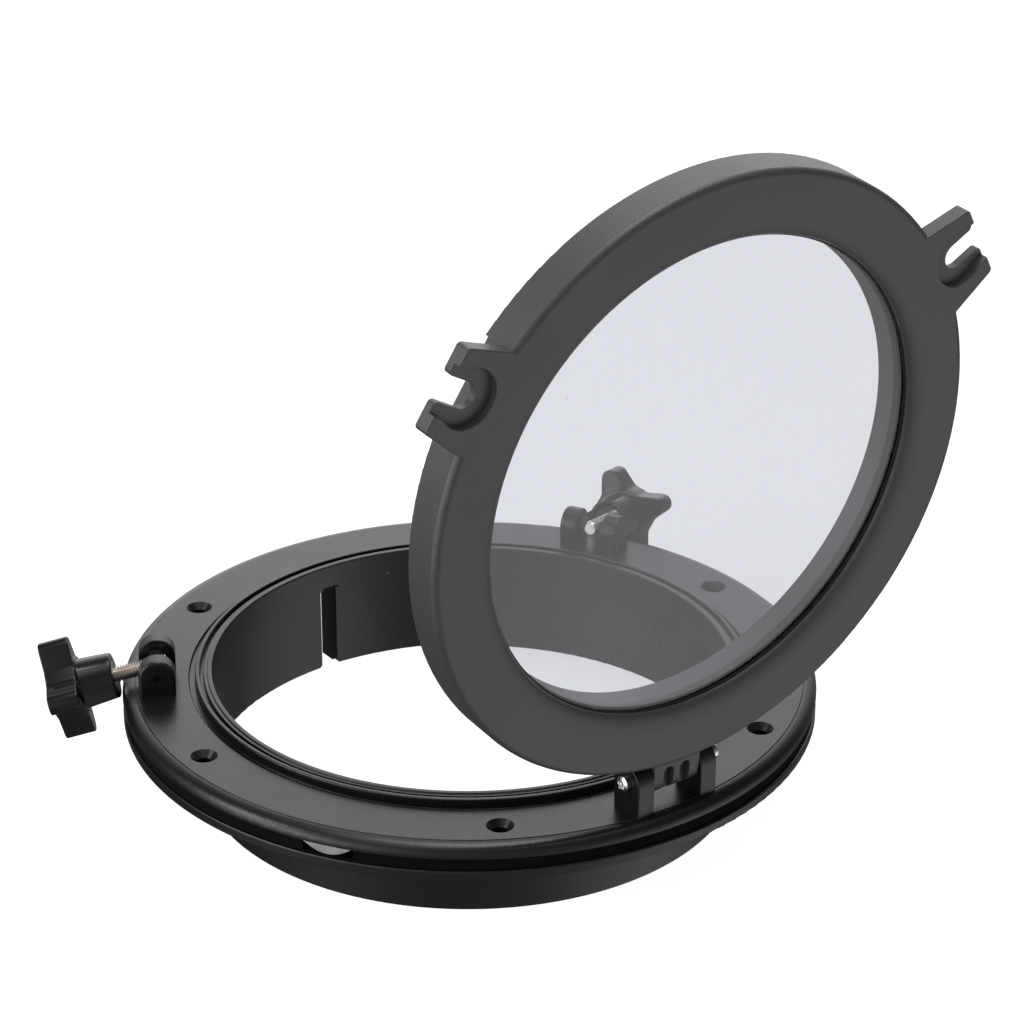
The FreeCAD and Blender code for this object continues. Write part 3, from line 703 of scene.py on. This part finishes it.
# %% [markdown]
# ## Hinge pin and its cap
# A stainless pin runs through the ears and the lid's knuckle. Its head is a low dome with a cross
# for the driver, and a pressed cap closes the other end. The dome is a polar grid whose height is
# lowered where either arm of the cross passes, which needs no cutting.

# %% Hinge pin
PIN_LOW, PIN_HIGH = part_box("hinge_pin")
CAP_LOW, CAP_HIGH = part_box("hinge_pin_cap")
HEAD_R = 0.5 * (PIN_HIGH.z - PIN_LOW.z)
HEAD_T, DOME_RISE, DOME_POWER = 2.6 * MM, 0.9 * MM, 2.6
SHANK_R = 2.0 * MM
CROSS_HALF, CROSS_REACH, CROSS_DEPTH, CROSS_SOFT = 0.38 * MM, 1.75 * MM, 0.75 * MM, 0.3 * MM
CAP_BORE, CAP_FIT, CAP_SHOULDER, CAP_DIMPLE = 2.45 * MM, 0.02 * MM, 0.9 * MM, 0.25 * MM


def cross_depth(x, y):
    """Depth of a driver's cross: two softened bars at right angles."""
    def bar(across, along):
        width = np.clip(1.6 - np.abs(across) / CROSS_HALF, 0.0, 1.0)
        length = np.clip((CROSS_REACH - np.abs(along)) / CROSS_SOFT, 0.0, 1.0)
        return width * length
    return CROSS_DEPTH * np.maximum(bar(x, y), bar(y, x))


def along_hinge(grid):
    """From (y, z, x) axes of a turned piece to the row's frame, on the hinge line."""
    place = grid[..., [2, 0, 1]].copy()
    place[..., 1] += HINGE[1]
    place[..., 2] += HINGE[2]
    return place


def hinge_pin(columns=96):
    """Head face, head side, shank and end, spun about the pin; the face carries the cross."""
    turn = np.linspace(0.0, 2.0 * np.pi, columns, endpoint=False)[None, :]
    dome = np.linspace(0.02, 1.0, 30)
    face_x = PIN_LOW.x + DOME_RISE * dome ** DOME_POWER
    inner = PIN_LOW.x + HEAD_T
    rest = soft_outline([(HEAD_R, face_x[-1], 0.0), (HEAD_R, inner, 0.25 * MM),
                         (SHANK_R, inner, 0.0), (SHANK_R, PIN_HIGH.x, 0.3 * MM),
                         (0.3 * MM, PIN_HIGH.x, 0.0)], closed=False)
    outline = np.vstack([np.stack([HEAD_R * dome, face_x], axis=1), rest[1:]])
    radius, x = outline[:, :1], outline[:, 1:2]
    y, z = radius * np.cos(turn + 0.5), radius * np.sin(turn + 0.5)
    face = np.zeros((len(outline), 1))
    face[:len(dome)] = 1.0
    pressed = cross_depth(radius * np.cos(turn), radius * np.sin(turn)) * face
    return grid_piece("hinge_pin_turned", along_hinge(np.stack([y, z, x + pressed], axis=-1)))


def pin_cap(columns=64):
    """A pressed steel cap: a skirt, a soft shoulder and a shallow dimple."""
    reach = CAP_HIGH.x - CAP_LOW.x
    bore = SHANK_R + CAP_FIT
    outline = soft_outline([(0.2 * MM, CAP_BORE, 0.0), (bore, CAP_BORE, 0.1 * MM),
                            (bore, 0.0, 0.1 * MM), (HEAD_R, 0.0, 0.2 * MM),
                            (HEAD_R, reach, CAP_SHOULDER), (0.9 * MM, reach, 0.3 * MM),
                            (0.4 * MM, reach - CAP_DIMPLE, 0.0)], closed=False)
    grid = spun(outline, columns)
    grid[..., 2] += CAP_LOW.x
    return grid_piece("pin_cap_pressed", along_hinge(grid))


finish_piece(hinge_pin(), PIN_STEEL, "stainless", "frame", "hinge_pin")
finish_piece(pin_cap(), PIN_STEEL, "stainless", "frame", "hinge_pin_cap")

# %% [markdown]
# ## Cloudy pad
# Under the flange's edge hangs a small cloudy lens of soft plastic, in a bay of the foam gasket. It
# is a section carried across its width: the section's height follows a flattened parabola and comes
# to nothing at both ends.

# %% Cloudy pad
GASKET_OUT = 128.9 * MM
PAD_DEG, PAD_WIDTH, PAD_DEPTH, PAD_REACH = -147.5, 18.5 * MM, 4.2 * MM, 6.4 * MM
PAD_SET_BACK, PAD_SQUARE = 2.8 * MM, 0.35


def pad_grid(rows=41, columns=40):
    """Rows across the width, columns round the rounded section."""
    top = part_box("bedding_pad")[1].z
    share = np.sin(np.linspace(-0.5 * np.pi, 0.5 * np.pi, rows))[1:-1][:, None]
    turn = np.linspace(0.0, 2.0 * np.pi, columns, endpoint=False)[None, :]
    side = np.sign(np.cos(turn)) * np.abs(np.cos(turn)) ** PAD_SQUARE
    lift = np.sign(np.sin(turn)) * np.abs(np.sin(turn)) ** PAD_SQUARE
    height = PAD_DEPTH * (1.0 - share ** 2)
    out = GASKET_OUT - PAD_SET_BACK + 0.5 * PAD_REACH * side + 0.0 * share
    z = top - 0.5 * height + 0.5 * height * lift
    across = 0.5 * PAD_WIDTH * share + 0.0 * turn
    c, s = math.cos(math.radians(PAD_DEG)), math.sin(math.radians(PAD_DEG))
    return np.stack([c * out - s * across, s * out + c * across, z], axis=-1)


finish_piece(grid_piece("cloudy_lens_pad", pad_grid()), CLOUDY_PAD, "pad_plastic", "frame",
             "bedding_pad")

# %% [markdown]
# ## Glass and its rubber
# The glass is a flat disc with ground edges. In front of it lies a thin rubber bead, cut to length
# and butted, so a hairline shows where its ends meet. The lid's own seal is a soft bulb in a groove
# on the underside. All three are sections carried round the axis and swung open with the lid.

# %% Glass
GLASS_LOW, GLASS_HIGH = 12.3 * MM, 16.3 * MM
GLASS_R = 0.5 * (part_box("lid_glass")[1].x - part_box("lid_glass")[0].x)


def glass_disc():
    """A disc with ground edges. A ring just inside each edge keeps the flats' shading flat."""
    flat_r = GLASS_R - 0.5 * MM
    outline = soft_outline([(0.5 * MM, GLASS_LOW, 0.0), (flat_r, GLASS_LOW, 0.0),
                            (GLASS_R, GLASS_LOW, 0.35 * MM), (GLASS_R, GLASS_HIGH, 0.35 * MM),
                            (flat_r, GLASS_HIGH, 0.0), (0.5 * MM, GLASS_HIGH, 0.0)],
                           closed=False)
    return grid_piece("window_disc", swung_open(spun(outline, 256)))


finish_piece(glass_disc(), WINDOW_GLASS, "clear_glass", "lid", "lid_glass")


# %% Rubber bead and lid seal
BEAD_IN, BEAD_OUT, BEAD_TOP = 86.4 * MM, 93.0 * MM, 17.0 * MM
BUTT_DEG, BUTT_GAP = -115.0, 0.25 * MM
SEAL_IN, SEAL_OUT, SEAL_LOW, SEAL_HIGH = 99.9 * MM, 103.6 * MM, 3.1 * MM, 7.5 * MM


def glass_bead(columns=360):
    """A channel round the glass; its front lip dips at the butt joint."""
    outline = soft_outline([(BEAD_IN, GLASS_HIGH, 0.1 * MM), (GLASS_R, GLASS_HIGH, 0.2 * MM),
                            (GLASS_R, GLASS_LOW, 0.0), (BEAD_OUT, GLASS_LOW, 0.0),
                            (BEAD_OUT, BEAD_TOP, 0.0), (BEAD_IN, BEAD_TOP, 0.3 * MM)])
    grid = spun(outline, columns)
    a = np.arctan2(grid[..., 1], grid[..., 0])
    off = (a - math.radians(BUTT_DEG) + np.pi) % (2.0 * np.pi) - np.pi
    dip = np.clip(1.0 - np.abs(off) * BEAD_IN / (4.0 * BUTT_GAP), 0.0, 1.0)
    lip = grid[..., 2] > GLASS_HIGH + 0.1 * MM
    grid[..., 2] -= 0.45 * MM * dip * lip
    return grid_piece("glass_bead", swung_open(grid), wrap=True)


def lid_bulb(columns=256):
    """A square root in the groove and a soft nose that meets the frame's ridges."""
    middle = 0.5 * (SEAL_IN + SEAL_OUT)
    outline = soft_outline([(SEAL_IN, SEAL_HIGH, 0.2 * MM), (SEAL_IN, 4.9 * MM, 0.6 * MM),
                            (middle - 1.3 * MM, SEAL_LOW, 0.9 * MM),
                            (middle + 1.3 * MM, SEAL_LOW, 0.9 * MM), (SEAL_OUT, 4.9 * MM, 0.6 * MM),
                            (SEAL_OUT, SEAL_HIGH, 0.2 * MM)])
    return grid_piece("lid_bulb_seal", swung_open(spun(outline, columns)), wrap=True)


finish_piece(glass_bead(), SEAL_RUBBER, "seal_rubber", "lid", "glass_seal")
finish_piece(lid_bulb(), SEAL_RUBBER, "seal_rubber", "lid", "lid_seal")

# %% End
print("all pieces made")
